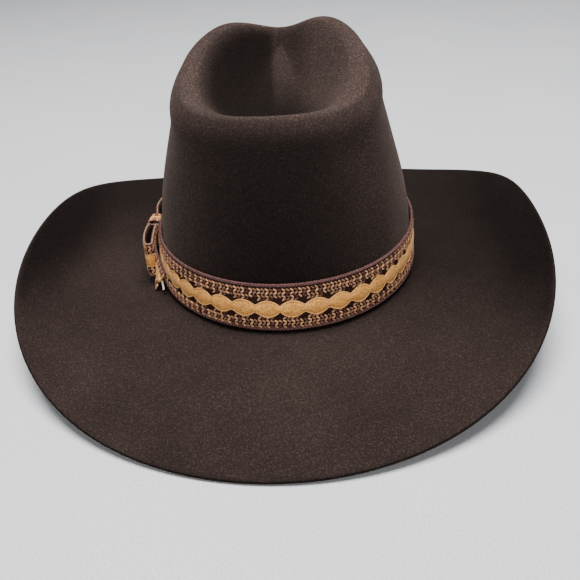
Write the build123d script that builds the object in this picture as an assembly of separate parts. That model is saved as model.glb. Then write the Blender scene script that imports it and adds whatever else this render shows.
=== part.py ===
"""Western felt hat with a woven trim hatband and a side bow.

Frame: the wearer's front is +Y, the wearer's right is +X, up is +Z.
The hat stands on the front and back edges of its brim, at z = 0.
Angles go round the hat from +X (right) through +Y (front), -X (left) and -Y (back).
Heights on the crown are counted from the break, where crown and brim meet.
"""
from build123d import *
from math import cos, degrees, exp, hypot, pi, radians, sin
import os

# ------------------------------------------------------------------ driving dimensions, mm and degrees
# Head oval: outside of the felt at the break.
HEAD_LENGTH = 209.0
HEAD_WIDTH = 171.0
HEAD_EGG = 0.03            # narrower at the forehead, wider at the back
FELT = 2.5                 # thickness of the felt body
BREAK_ROUNDING = (0.05, 0.03)   # shares of brim and wall that the round of the break takes

# Brim: width along the felt, and the slopes of its profile (up is positive) at the break and at the edge.
BRIM_WIDTH = 101.0
BRIM_WIDTH_FRONT_EXTRA = 2.0
BREAK_SLOPE = -13.5
BREAK_SLOPE_SIDES = -5.5
BREAK_SLOPE_FRONT = -6.4
EDGE_SLOPE = 18.2
EDGE_SLOPE_SIDES = 37.8
EDGE_SLOPE_QUARTERS = 4.5
EDGE_SLOPE_FRONT = 7.4
EDGE_SLOPE_THIRDS = 1.2

# Crown: the ridge is the closed line round the top, the crease is the teardrop hollow inside it.
RIDGE_HALF_WIDTH = 53.5
RIDGE_FRONT_TAPER = 18.4
RIDGE_HALF_LENGTH = 55.2
RIDGE_SET_BACK = 6.2
RIDGE_HEIGHT = 138.2
RIDGE_FRONT_RISE = 17.6
RIDGE_SIDE_RISE = 5.6
RIDGE_DIP = 5.1
RIDGE_ROUNDING = 0.18      # share of the wall, and of the crease, that the round of the ridge takes
WALL_ROUNDNESS = 1.92
SHOULDER_ROUNDNESS = 1.03
SHOULDER_ROLL = 4.3        # fullness of the sides just under the ridge
SHOULDER_ROLL_SHARE = 0.90
SHOULDER_ROLL_SPREAD = 0.06
CREASE_HALF_LENGTH = 42.0
CREASE_SET_BACK = 4.0
CREASE_HEIGHT = 111.8
CREASE_FRONT_RISE = 16.2
CREASE_END_RISE = 4.0
CREASE_WALL_SHARE = 0.8    # share of the way from ridge to crease line that is sloping wall
DENT_DEPTH = 9.4
DENT_ANGLE = 54.6          # from straight ahead to the middle of each side dent
DENT_SPREAD = 30.4
DENT_HEIGHT_SHARE = 0.62
DENT_HEIGHT_SPREAD = 0.21

# Inside of the crown, from the felt inwards.
GAP = 0.3                  # between neighbouring layers
LINING = 0.5
LINING_BOTTOM = 14.0
LINING_TOP = 84.0
LINING_EASE = 0.9          # slack that the lining keeps from the felt
TIP_RISE = 3.0
TIP_LINE_HALF = 41.8       # half length of the line where the tip's two halves meet
PIPING = 1.8
TAPE = 0.6
TAPE_TOP = 9.0
REED = 1.6
SWEATBAND = 1.2
SWEATBAND_TOP = 54.0
SWEATBAND_BOTTOM = -2.4
STITCH_COUNT = 96
STITCH_LENGTH = 3.2
STITCH_THICKNESS = 0.5
STITCH_HEIGHT = 4.0
STITCH_STAND_OFF = 0.2
SEAM_HALF_WIDTH = 2.5
LITTLE_BOW_SPAN = 22.0
LITTLE_BOW_HEIGHT = 7.0
LITTLE_BOW_STAND_OFF = 2.0   # clears the curve of the sweatband behind its ends
LITTLE_BOW_THICKNESS = 1.2
LITTLE_BOW_PINCH = 1.4       # half height of the wings where the knot holds them
LITTLE_KNOT = (2.7, 4.2, 2.0)

# Hatband: rows of the woven trim, from the lower edge up.
BAND_FROM_BREAK = 3.0
BAND_CLEARANCE = 0.6       # between the band and the felt
LOWER_CORD_HEIGHT = 2.2
LOWER_MESH_HEIGHT = 7.0
SCALLOP_HEIGHT = 10.2
UPPER_MESH_HEIGHT = 8.0
UPPER_CORD_HEIGHT = 2.4
CORD_THICKNESS = 2.6
MESH_THICKNESS = 1.8
SCALLOP_THICKNESS = 2.2
ROW_GAP = 0.05

# Bow on the left side of the band: two loops and two tails pinched by a knot.
BOW_WIDTH = 25.0           # width of the trim in the loops and tails, up the crown
BOW_FROM_BREAK = 5.0
BOW_LEAN = 5.0             # degrees that loops and tails turn in to follow the crown
STRAP = 1.6
KNOT_HALF_LENGTH = 6.0
KNOT_CLEARANCE = 2.0       # room for the loops and tails to swing beside the knot
KNOT_WIDTH = 22.0
LOOP_REACH = 44.0          # from the middle of the knot to the end of a loop
LOOP_GAP = 2.6             # between the two layers at the end of a loop
PINCH_GAP = 0.4            # between the two layers at the knot
TAIL_REACH = 56.0
TAIL_DROOP = 4.0
TAIL_WIDTH = 20.0
TAIL_CUT = 4.0             # slant of the cut end

# ------------------------------------------------------------------ grids
EVEN_STEPS = 0.4
SKIN_TOLERANCE = 0.1      # how closely a skin follows its grid
NORMAL_SMOOTHING = 2
COLUMNS = 40
BRIM_STEPS = 40
BRIM_ROWS = [1.0, 0.95, 0.88, 0.79, 0.7, 0.6, 0.5, 0.4, 0.3, 0.2, 0.12, 0.07, 0.045, 0.02]
WALL_ROWS = [0.0, 0.015, 0.035, 0.07, 0.12, 0.19, 0.27, 0.35, 0.43, 0.51, 0.58, 0.64, 0.7, 0.76, 0.82, 0.88, 0.94, 1.0]
CREASE_ROWS = [0.06, 0.12, 0.18, 0.26, 0.35, 0.45, 0.55, 0.65, 0.75, 0.85, 0.93, 1.0]
HALF_TURN = [radians(-90 + 180 * i / COLUMNS) for i in range(COLUMNS + 1)]


def smooth(u):
    u = min(max(u, 0.0), 1.0)
    return u * u * (3 - 2 * u)


def oval(t):
    """Head oval, outside of the felt, at angle t."""
    x = HEAD_WIDTH / 2 * cos(t) * (1 - HEAD_EGG * sin(t))
    return x, HEAD_LENGTH / 2 * sin(t)


def outward(t):
    """Level direction straight out of the head oval at angle t."""
    dx = HEAD_WIDTH / 2 * (-sin(t) - HEAD_EGG * cos(2 * t))
    dy = HEAD_LENGTH / 2 * cos(t)
    size = hypot(dx, dy)
    return dy / size, -dx / size


def brim_width(t):
    return BRIM_WIDTH - BRIM_WIDTH_FRONT_EXTRA * cos(2 * t)


def brim_slope(t, share):
    at_break = BREAK_SLOPE + BREAK_SLOPE_SIDES * cos(2 * t) + BREAK_SLOPE_FRONT * sin(t)
    at_edge = EDGE_SLOPE + EDGE_SLOPE_SIDES * cos(2 * t) + EDGE_SLOPE_QUARTERS * cos(4 * t)
    at_edge += EDGE_SLOPE_FRONT * sin(t) + EDGE_SLOPE_THIRDS * sin(3 * t)
    return radians(at_break + (at_edge - at_break) * smooth(share))


def brim_reach(t, share):
    """How far out and up the brim has gone after a share of its width."""
    step = brim_width(t) * share / BRIM_STEPS
    slopes = [brim_slope(t, share * (i + 0.5) / BRIM_STEPS) for i in range(BRIM_STEPS)]
    return step * sum(cos(a) for a in slopes), step * sum(sin(a) for a in slopes)


# The brim's lowest edge touches the table, which sets the height of the break.
BREAK_Z = FELT - min(brim_reach(t, 1.0)[1] for t in HALF_TURN)


def ridge(t):
    x = cos(t) * (RIDGE_HALF_WIDTH - RIDGE_FRONT_TAPER * sin(t))
    y = RIDGE_HALF_LENGTH * sin(t) - RIDGE_SET_BACK
    h = RIDGE_HEIGHT + RIDGE_FRONT_RISE * sin(t) + RIDGE_SIDE_RISE * cos(2 * t) + RIDGE_DIP * sin(3 * t)
    return x, y, h


def middle_share(t):
    """Place along a line from back (-1) to front (1) for an angle, mixed from even steps and a cosine's."""
    return EVEN_STEPS * t / (pi / 2) + (1 - EVEN_STEPS) * sin(t)


def crease(t):
    along = middle_share(t)
    h = CREASE_HEIGHT + CREASE_FRONT_RISE * along + CREASE_END_RISE * along * along
    return 0.0, CREASE_HALF_LENGTH * along - CREASE_SET_BACK, h


def dent(t, share):
    """How far the two side dents push the wall in."""
    push = 0.0
    for side in (-1, 1):
        away = degrees(t - pi / 2) - side * DENT_ANGLE
        away = (away + 180) % 360 - 180
        up = (share - DENT_HEIGHT_SHARE) / DENT_HEIGHT_SPREAD
        push += DENT_DEPTH * exp(-(away / DENT_SPREAD) ** 2 - up * up)
    return push * (1 - share ** 12)


def shoulder_roll(t, share):
    """How far the felt swells over the sides, just under the ridge."""
    near = (share - SHOULDER_ROLL_SHARE) / SHOULDER_ROLL_SPREAD
    return SHOULDER_ROLL * cos(t) ** 2 * exp(-near * near) * (1 - share ** 12)


def wall(t, height, inward=0.0):
    """A point on the crown wall, moved inwards by a level distance."""
    base_x, base_y = oval(t)
    top_x, top_y, top_h = ridge(t)
    share = min(max(height / top_h, 0.0), 1.0)
    spread = (1 - share ** WALL_ROUNDNESS) ** (1 / SHOULDER_ROUNDNESS)
    push = dent(t, share)
    out_x, out_y = outward(t)
    out = shoulder_roll(t, share) - inward
    x = top_x + (base_x - top_x) * spread - cos(t) * push + out_x * out
    y = top_y + (base_y - top_y) * spread - sin(t) * push + out_y * out
    return x, y, BREAK_Z + height


def sharp_top(t, w):
    """The felt's upper surface before its ridge and break are rounded, as felt_top has it."""
    if w < 0:
        x, y = oval(t)
        out_x, out_y = outward(t)
        out, up = brim_reach(t, -w)
        return x + out_x * out, y + out_y * out, BREAK_Z + up
    if w <= 1:
        return wall(t, ridge(t)[2] * sin(w * pi / 2))
    top_x, top_y, top_h = ridge(t)
    low_x, low_y, low_h = crease(t)
    q = w - 1
    h = top_h - (top_h - low_h) * smooth(q / CREASE_WALL_SHARE)
    return top_x + (low_x - top_x) * q, top_y + (low_y - top_y) * q, BREAK_Z + h


def rounded(t, w, low, corner, high):
    """Quadratic curve that rounds the corner of the profile between two of its points."""
    s = (w - low) / (high - low)
    points = [sharp_top(t, low), sharp_top(t, corner), sharp_top(t, high)]
    weights = [(1 - s) ** 2, 2 * s * (1 - s), s ** 2]
    return tuple(sum(k * p[i] for k, p in zip(weights, points)) for i in range(3))


def felt_top(t, w):
    """Upper surface of the felt: w from -1 (brim edge) over 0 (break) and 1 (ridge) to 2 (crease line)."""
    if abs(w - 1) < RIDGE_ROUNDING:
        return rounded(t, w, 1 - RIDGE_ROUNDING, 1.0, 1 + RIDGE_ROUNDING)
    if -BREAK_ROUNDING[0] < w < BREAK_ROUNDING[1]:
        return rounded(t, w, -BREAK_ROUNDING[0], 0.0, BREAK_ROUNDING[1])
    return sharp_top(t, w)


def felt_normal(t, w):
    """Direction straight out of the upper surface."""
    dt = 0.01
    dw = 0.005
    t0, t1 = t - dt, t + dt
    w0, w1 = w - dw, min(w + dw, 2.0)
    if w1 == 2.0:
        w0 = 2.0 - 4 * dw
        w1 = 2.0 - 2 * dw
    along = Vector(*felt_top(t1, w)) - Vector(*felt_top(t0, w))
    across = Vector(*felt_top(t, w1)) - Vector(*felt_top(t, w0))
    if w == 2.0:
        along = Vector(*felt_top(t1, w0)) - Vector(*felt_top(t0, w0))
    return along.cross(across).normalized()


def felt_under(rows):
    """Lower surface of the felt: the upper grid moved one thickness along its evened-out normals."""
    normals = [[felt_normal(t, w) for t in HALF_TURN] for w in rows]
    count = len(HALF_TURN)
    for _ in range(NORMAL_SMOOTHING):
        evened = []
        for i, row in enumerate(normals):
            before, after = normals[max(i - 1, 0)], normals[min(i + 1, len(rows) - 1)]
            sides = [(row[max(j - 1, 0)], row[min(j + 1, count - 1)]) for j in range(count)]
            sums = [row[j] * 2 + before[j] + after[j] + sides[j][0] + sides[j][1] for j in range(count)]
            evened.append([total.normalized() for total in sums])
        normals = evened
    under = []
    for w, row in zip(rows, normals):
        moved = [Vector(*felt_top(t, w)) - normal * FELT for t, normal in zip(HALF_TURN, row)]
        under.append([(p.X, p.Y, p.Z) for p in moved])
    return under


# ------------------------------------------------------------------ solids from two skins
def on_plane(points):
    """Put the first and last point of a half row exactly on the plane of symmetry."""
    row = [Vector(*p) for p in points]
    row[0] = Vector(0, row[0].Y, row[0].Z)
    row[-1] = Vector(0, row[-1].Y, row[-1].Z)
    return row


def nearest_edge(face, point):
    return min(face.edges(), key=lambda edge: edge.distance_to(point))


def bridge(skin_a, skin_b, point_a, point_b):
    """Ruled face between the matching edges of two skins."""
    return Face.make_surface_from_curves(nearest_edge(skin_a, point_a), nearest_edge(skin_b, point_b))


def symmetric_shell(outer, inner, close_last=True):
    """Closed solid between two half grids and their mirror images about x = 0."""
    outer = [on_plane(row) for row in outer]
    inner = [on_plane(row) for row in inner]
    if not close_last:
        outer[-1] = [Vector(0, p.Y, p.Z) for p in outer[-1]]
        inner[-1] = [Vector(0, p.Y, p.Z) for p in inner[-1]]
    middle = len(outer[0]) // 2
    skin_a = Face.make_surface_from_array_of_points(outer, tol=SKIN_TOLERANCE)
    skin_b = Face.make_surface_from_array_of_points(inner, tol=SKIN_TOLERANCE)
    faces = [skin_a, skin_b, bridge(skin_a, skin_b, outer[0][middle], inner[0][middle])]
    if close_last:
        faces.append(bridge(skin_a, skin_b, outer[-1][middle], inner[-1][middle]))
    faces += [face.mirror(Plane.YZ) for face in faces]
    return Solid(Shell(faces))


def ring(bottom, top, inward, thickness, rows=6):
    """Ring that follows the crown wall between two heights."""
    heights = [bottom + (top - bottom) * i / (rows - 1) for i in range(rows)]
    outer = [[wall(t, h, inward) for t in HALF_TURN] for h in heights]
    inner = [[wall(t, h, inward + thickness) for t in HALF_TURN] for h in heights]
    return symmetric_shell(outer, inner)


def block_on_wall(t, height, inward, size):
    """Small block standing on the inside of the crown wall; size is along, up, and thickness."""
    x, y, z = wall(t, height, inward)
    out_x, out_y = outward(t)
    plane = Plane(origin=(x, y, z), x_dir=(-out_y, out_x, 0), z_dir=(-out_x, -out_y, 0))
    along, up, thickness = size
    return plane * Box(along, up, thickness, align=(Align.CENTER, Align.CENTER, Align.MIN))


# ------------------------------------------------------------------ pieces of the hat
def make_felt_body():
    rows = [-s for s in BRIM_ROWS] + WALL_ROWS + [1 + q for q in CREASE_ROWS]
    outer = [[felt_top(t, w) for t in HALF_TURN] for w in rows]
    return symmetric_shell(outer, felt_under(rows), close_last=False)


INSIDE_FELT = FELT + LINING_EASE
INSIDE_LINING = INSIDE_FELT + LINING
SWEATBAND_INWARD = max(INSIDE_LINING, INSIDE_FELT + TAPE) + GAP
INSIDE_SWEATBAND = SWEATBAND_INWARD + SWEATBAND


def make_lining_side():
    return ring(LINING_BOTTOM, LINING_TOP, INSIDE_FELT, LINING, rows=12)


def make_lining_piping():
    return ring(LINING_TOP + GAP, LINING_TOP + GAP + PIPING, INSIDE_FELT, PIPING, rows=3)


def make_lining_tip():
    """Oval sheet that closes the top of the lining, inside the piping, a little domed."""
    edge_inward = INSIDE_FELT + PIPING + GAP
    shares = [1.0, 0.85, 0.7, 0.55, 0.4, 0.25, 0.12, 0.0]

    def sheet(lift):
        rows = []
        for share in shares:
            row = []
            for t in HALF_TURN:
                x, y, z = wall(t, LINING_TOP + GAP, edge_inward)
                line_y = middle_share(t) * TIP_LINE_HALF
                row.append((x * share, line_y + (y - line_y) * share, z + lift + TIP_RISE * (1 - share ** 2)))
            rows.append(row)
        return rows

    return symmetric_shell(sheet(LINING), sheet(0.0), close_last=False)


def make_reed_tape():
    return ring(SWEATBAND_BOTTOM + REED + GAP, TAPE_TOP, INSIDE_FELT, TAPE, rows=4)


def make_sweatband_reed():
    return ring(SWEATBAND_BOTTOM, SWEATBAND_BOTTOM + REED, SWEATBAND_INWARD - GAP - REED, REED, rows=3)


def make_sweatband():
    return ring(SWEATBAND_BOTTOM, SWEATBAND_TOP, SWEATBAND_INWARD, SWEATBAND, rows=8)


def make_sweatband_stitches():
    """Row of stitches that holds the sweatband to the reed tape."""
    size = (STITCH_LENGTH, STITCH_THICKNESS, STITCH_THICKNESS)
    clear = INSIDE_SWEATBAND + STITCH_STAND_OFF
    turns = [2 * pi * (i + 0.5) / STITCH_COUNT for i in range(STITCH_COUNT)]
    return Compound([block_on_wall(t, STITCH_HEIGHT, clear, size) for t in turns])


def make_sweatband_seam():
    """Flat stitched strip over the join of the sweatband, at the back."""
    low, high = STITCH_HEIGHT + STITCH_LENGTH + LITTLE_BOW_HEIGHT, SWEATBAND_TOP - 2 * GAP
    spread = SEAM_HALF_WIDTH / (HEAD_WIDTH / 2)
    turns = [radians(-90) + spread * i / 4 for i in range(5)]
    heights = [low + (high - low) * i / 5 for i in range(6)]
    clear = INSIDE_SWEATBAND + ROW_GAP
    outer = [[wall(t, h, clear) for t in turns] for h in heights]
    inner = [[wall(t, h, clear + STITCH_THICKNESS) for t in turns] for h in heights]
    outer = [[(0.0, row[0][1], row[0][2])] + row[1:] for row in outer]
    inner = [[(0.0, row[0][1], row[0][2])] + row[1:] for row in inner]
    outer = [[Vector(*p) for p in row] for row in outer]
    inner = [[Vector(*p) for p in row] for row in inner]
    skin_a = Face.make_surface_from_array_of_points(outer)
    skin_b = Face.make_surface_from_array_of_points(inner)
    faces = [skin_a, skin_b]
    for i, j in ((0, 2), (-1, 2), (3, -1)):
        point_a, point_b = outer[i][j], inner[i][j]
        faces.append(bridge(skin_a, skin_b, point_a, point_b))
    faces += [face.mirror(Plane.YZ) for face in faces]
    return Solid(Shell(faces))


def make_sweatband_bow():
    """Little ribbon bow over the join, at the back of the head: two loops and a knot."""
    t = radians(-90)
    height = STITCH_HEIGHT + STITCH_LENGTH + LITTLE_BOW_HEIGHT / 2 - 1
    x, y, z = wall(t, height, INSIDE_SWEATBAND + LITTLE_BOW_STAND_OFF)
    plane = Plane(origin=(x, y, z), x_dir=(1, 0, 0), z_dir=(0, 1, 0))
    inner, pinch = LITTLE_KNOT[0] / 2 + ROW_GAP, LITTLE_BOW_PINCH
    wing = [(inner, -pinch), (LITTLE_BOW_SPAN / 2, -LITTLE_BOW_HEIGHT / 2)]
    wing += [(LITTLE_BOW_SPAN / 2, LITTLE_BOW_HEIGHT / 2), (inner, pinch)]
    pieces = []
    for side in (1, -1):
        outline = make_face(Polyline(*[(side * px, py) for px, py in wing], close=True))
        pieces.append(plane * extrude(outline, LITTLE_BOW_THICKNESS))
    pieces.append(plane * Box(*LITTLE_KNOT, align=(Align.CENTER, Align.CENTER, Align.MIN)))
    return Compound(pieces)


# ------------------------------------------------------------------ hatband
BAND_ROWS = [("band_lower_cord", LOWER_CORD_HEIGHT, CORD_THICKNESS),
             ("band_lower_mesh", LOWER_MESH_HEIGHT, MESH_THICKNESS),
             ("band_scallop_strip", SCALLOP_HEIGHT, SCALLOP_THICKNESS),
             ("band_upper_mesh", UPPER_MESH_HEIGHT, MESH_THICKNESS),
             ("band_upper_cord", UPPER_CORD_HEIGHT, CORD_THICKNESS)]


def make_band_rows():
    pieces = {}
    bottom = BAND_FROM_BREAK
    for name, height, thickness in BAND_ROWS:
        inward = -BAND_CLEARANCE - thickness
        pieces[name] = ring(bottom, bottom + height - ROW_GAP, inward, thickness, rows=4)
        bottom += height
    return pieces


# ------------------------------------------------------------------ bow
# The bow stands on the left of the band, so its depths are counted from the widest point outwards.
BOW_FACE = -(HEAD_WIDTH / 2 + BAND_CLEARANCE + CORD_THICKNESS + GAP)
TAIL_FACE = BOW_FACE - STRAP - GAP
KNOT_DEPTH = 4 * STRAP + PINCH_GAP + 4 * GAP
BOW_MIDDLE_Z = BREAK_Z + BOW_FROM_BREAK + BOW_WIDTH / 2
HINGE_X = BOW_FACE - (3 * STRAP + PINCH_GAP + GAP) / 2
HINGE_Y = KNOT_HALF_LENGTH + KNOT_CLEARANCE


def make_bow_knot():
    """The trim wraps once round the pinched middle of the bow."""
    centre = (BOW_FACE - KNOT_DEPTH / 2, 0, BOW_MIDDLE_Z)
    knot = Pos(*centre) * Box(KNOT_DEPTH, 2 * KNOT_HALF_LENGTH, KNOT_WIDTH)
    return fillet(knot.edges().filter_by(Axis.Z), STRAP)


def leaning(solid):
    """Turn a front loop or tail in about its hinge line, towards the crown."""
    return Pos(HINGE_X, HINGE_Y, 0) * (Rot(0, 0, -BOW_LEAN) * (Pos(-HINGE_X, -HINGE_Y, 0) * solid))


def make_bow_loop(side):
    """One loop: two layers of trim that part from the knot to a round end; side is +1 to the front."""
    start = KNOT_HALF_LENGTH + KNOT_CLEARANCE
    end = LOOP_REACH - STRAP - LOOP_GAP / 2

    def outline(face, begin, width_at_knot, width_at_end):
        """Teardrop that is flat towards the band and opens outwards to its round end."""
        middle = face - width_at_end / 2
        a, b = (face, begin), (face, end)
        c, d = (face - width_at_end, end), (face - width_at_knot, begin)
        edges = [Line(a, b), ThreePointArc(b, (middle, end + width_at_end / 2), c), Line(c, d), Line(d, a)]
        return extrude(make_face(Curve() + edges), BOW_WIDTH)

    solid = outline(TAIL_FACE, start, 2 * STRAP + PINCH_GAP, 2 * STRAP + LOOP_GAP)
    solid -= outline(TAIL_FACE - STRAP, start - 1, PINCH_GAP, LOOP_GAP)
    solid = leaning(Pos(0, 0, BREAK_Z + BOW_FROM_BREAK) * solid)
    return solid if side > 0 else mirror(solid, about=Plane.XZ)


def make_bow_tail(side):
    """One tail: a single layer of trim behind the loop, that droops a little to its slanted cut end."""
    start = KNOT_HALF_LENGTH + KNOT_CLEARANCE
    half = TAIL_WIDTH / 2
    outline = [(start, -half), (TAIL_REACH - TAIL_CUT, -half), (TAIL_REACH, half), (start, half)]
    flat = Plane(origin=(BOW_FACE - STRAP, 0, 0), x_dir=(0, 1, 0), z_dir=(1, 0, 0))
    solid = flat * extrude(make_face(Polyline(*outline, close=True)), STRAP)
    solid = Pos(0, start, 0) * (Rot(-TAIL_DROOP, 0, 0) * (Pos(0, -start, 0) * solid))
    solid = leaning(Pos(0, 0, BOW_MIDDLE_Z) * solid)
    return solid if side > 0 else mirror(solid, about=Plane.XZ)


# ------------------------------------------------------------------ write every piece
def main():
    pieces = {
        "felt_body": make_felt_body(),
        "lining_side": make_lining_side(),
        "lining_piping": make_lining_piping(),
        "lining_tip": make_lining_tip(),
        "reed_tape": make_reed_tape(),
        "sweatband_reed": make_sweatband_reed(),
        "sweatband": make_sweatband(),
        "sweatband_stitches": make_sweatband_stitches(),
        "sweatband_seam": make_sweatband_seam(),
        "sweatband_bow": make_sweatband_bow(),
        "bow_knot": make_bow_knot(),
        "bow_loop_rear": make_bow_loop(-1),
        "bow_loop_front": make_bow_loop(1),
        "bow_tail_rear": make_bow_tail(-1),
        "bow_tail_front": make_bow_tail(1),
    }
    pieces.update(make_band_rows())
    os.makedirs("parts", exist_ok=True)
    for name, piece in pieces.items():
        export_step(piece, f"parts/{name}.step")
        print(name, round(piece.volume), "mm3")
    print("break height", round(BREAK_Z, 2), "hinges at", round(HINGE_X, 2), "+-", HINGE_Y)


main()
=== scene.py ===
# %% [markdown]
# # A western felt hat with a woven trim band
# A western hat is one blocked piece of felt: a crown with a teardrop crease, and a wide brim rolled
# up at the sides. Round it lies a band of woven trim with a bow on the wearer's left. Inside are a leather
# sweatband and a satin lining. The solid model already fixes every size and joint, so this notebook
# loads it as a frame and then makes each piece again with the detail that a viewer sees.

# %% Load the frame
import bmesh
import bpy
import math
import numpy as np
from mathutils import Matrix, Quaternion, Vector


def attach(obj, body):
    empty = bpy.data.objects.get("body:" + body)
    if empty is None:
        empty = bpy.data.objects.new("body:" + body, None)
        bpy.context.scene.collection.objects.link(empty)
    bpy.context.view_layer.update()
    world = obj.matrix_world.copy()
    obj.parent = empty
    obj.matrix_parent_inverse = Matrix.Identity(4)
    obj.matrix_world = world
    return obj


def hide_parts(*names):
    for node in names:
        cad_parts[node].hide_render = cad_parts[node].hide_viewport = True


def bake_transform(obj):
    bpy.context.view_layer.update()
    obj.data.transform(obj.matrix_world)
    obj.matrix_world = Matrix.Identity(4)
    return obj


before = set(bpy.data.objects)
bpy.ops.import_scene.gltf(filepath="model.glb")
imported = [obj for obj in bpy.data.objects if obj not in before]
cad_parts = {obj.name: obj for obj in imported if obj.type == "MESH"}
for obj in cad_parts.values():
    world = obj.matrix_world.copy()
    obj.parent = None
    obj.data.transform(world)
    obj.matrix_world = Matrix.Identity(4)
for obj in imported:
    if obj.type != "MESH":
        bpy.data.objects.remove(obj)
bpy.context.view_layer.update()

# %% [markdown]
# ## The rule of the hat
# A blocked hat has no flat panels, so it is easiest to hold its shape as a rule: for every angle round the
# head and every place along the profile, the rule gives a point. The profile number w runs from -1 at the
# brim edge, over 0 at the break where brim and crown meet, and 1 at the ridge of the crown, to 2 at the
# bottom of the crease. The same rule then carries the band, the sweatband and the lining, so they
# fit without any measuring. Sizes are in millimetres here and in metres in the meshes.

# %% Sizes of the hat
MM = 0.001
HEAD_LENGTH = 209.0
HEAD_WIDTH = 171.0
HEAD_EGG = 0.03
FELT = 2.5
BRIM_WIDTH = 101.0
BRIM_WIDTH_FRONT_EXTRA = 2.0
BRIM_STEPS = 40
BREAK_SLOPE, BREAK_SLOPE_SIDES, BREAK_SLOPE_FRONT = -13.5, -5.5, -6.4
EDGE_SLOPE, EDGE_SLOPE_SIDES, EDGE_SLOPE_QUARTERS = 18.2, 37.8, 4.5
EDGE_SLOPE_FRONT, EDGE_SLOPE_THIRDS, EDGE_SLOPE_RIGHT = 7.4, 1.2, 3.3
RIDGE_HALF_WIDTH, RIDGE_FRONT_TAPER, RIDGE_HALF_LENGTH, RIDGE_SET_BACK = 53.5, 18.4, 55.2, 6.2
RIDGE_SHIFT = -1.7
RIDGE_HEIGHT, RIDGE_FRONT_RISE, RIDGE_SIDE_RISE, RIDGE_DIP, RIDGE_RIGHT_RISE = 138.2, 17.6, 5.6, 5.1, 1.3
RIDGE_ROUNDING = 0.18
BREAK_ROUNDING = (0.05, 0.03)
WALL_ROUNDNESS, SHOULDER_ROUNDNESS = 1.92, 1.03
SHOULDER_ROLL, SHOULDER_ROLL_SHARE, SHOULDER_ROLL_SPREAD = 4.3, 0.90, 0.06
CREASE_HALF_LENGTH, CREASE_SET_BACK = 42.0, 4.0
CREASE_HEIGHT, CREASE_FRONT_RISE, CREASE_END_RISE, CREASE_WALL_SHARE = 111.8, 16.2, 4.0, 0.8
DENT_DEPTH, DENT_ANGLE, DENT_SPREAD, DENT_HEIGHT_SHARE, DENT_HEIGHT_SPREAD = 9.4, 54.6, 30.4, 0.62, 0.21
EVEN_STEPS = 0.4
BREAK_Z = 23.29


def smooth(u):
    """Soft step from 0 at u = 0 to 1 at u = 1."""
    u = np.clip(u, 0.0, 1.0)
    return u * u * (3 - 2 * u)


def oval(t):
    """Head oval at angle t, and the level direction straight out of it."""
    x = HEAD_WIDTH / 2 * np.cos(t) * (1 - HEAD_EGG * np.sin(t))
    y = HEAD_LENGTH / 2 * np.sin(t)
    dx = HEAD_WIDTH / 2 * (-np.sin(t) - HEAD_EGG * np.cos(2 * t))
    dy = HEAD_LENGTH / 2 * np.cos(t)
    size = np.hypot(dx, dy)
    return x, y, dy / size, -dx / size


print("head oval", HEAD_LENGTH, "by", HEAD_WIDTH, "mm, break", BREAK_Z, "mm above the table")

# %% Brim and crown as functions
def brim_point(t, share):
    """Point of the brim's upper face after a share of its width, by adding up short sloping steps."""
    width = BRIM_WIDTH - BRIM_WIDTH_FRONT_EXTRA * np.cos(2 * t)
    at_break = BREAK_SLOPE + BREAK_SLOPE_SIDES * np.cos(2 * t) + BREAK_SLOPE_FRONT * np.sin(t)
    at_edge = EDGE_SLOPE + EDGE_SLOPE_SIDES * np.cos(2 * t) + EDGE_SLOPE_QUARTERS * np.cos(4 * t)
    at_edge += EDGE_SLOPE_FRONT * np.sin(t) + EDGE_SLOPE_THIRDS * np.sin(3 * t) + EDGE_SLOPE_RIGHT * np.cos(t)
    out = up = 0.0
    for i in range(BRIM_STEPS):
        slope = np.radians(at_break + (at_edge - at_break) * smooth(share * (i + 0.5) / BRIM_STEPS))
        out = out + width * share / BRIM_STEPS * np.cos(slope)
        up = up + width * share / BRIM_STEPS * np.sin(slope)
    x, y, out_x, out_y = oval(t)
    return np.stack([x + out_x * out, y + out_y * out, BREAK_Z + up], -1)


def ridge(t):
    """x, y and height over the break of the crown's ridge at angle t."""
    x = np.cos(t) * (RIDGE_HALF_WIDTH - RIDGE_FRONT_TAPER * np.sin(t)) + RIDGE_SHIFT
    y = RIDGE_HALF_LENGTH * np.sin(t) - RIDGE_SET_BACK
    h = RIDGE_HEIGHT + RIDGE_FRONT_RISE * np.sin(t) + RIDGE_SIDE_RISE * np.cos(2 * t)
    return x, y, h + RIDGE_DIP * np.sin(3 * t) + RIDGE_RIGHT_RISE * np.cos(t)


def wall_point(t, height, inward=0.0):
    """Point of the crown wall at a height above the break, moved inwards by a level distance."""
    base_x, base_y, out_x, out_y = oval(t)
    top_x, top_y, top_h = ridge(t)
    share = np.clip(height / top_h, 0.0, 1.0)
    spread = (1 - share ** WALL_ROUNDNESS) ** (1 / SHOULDER_ROUNDNESS)
    push = 0.0
    for side in (-1, 1):
        away = (np.degrees(t) - 90 - side * DENT_ANGLE + 180) % 360 - 180
        up = (share - DENT_HEIGHT_SHARE) / DENT_HEIGHT_SPREAD
        push = push + DENT_DEPTH * np.exp(-(away / DENT_SPREAD) ** 2 - up * up)
    near_top = 1 - share ** 12
    roll = SHOULDER_ROLL * np.cos(t) ** 2
    roll = roll * np.exp(-((share - SHOULDER_ROLL_SHARE) / SHOULDER_ROLL_SPREAD) ** 2)
    out = roll * near_top - inward
    x = top_x + (base_x - top_x) * spread - np.cos(t) * push * near_top + out_x * out
    y = top_y + (base_y - top_y) * spread - np.sin(t) * push * near_top + out_y * out
    return np.stack([x, y, BREAK_Z + height + 0 * t], -1)


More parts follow.
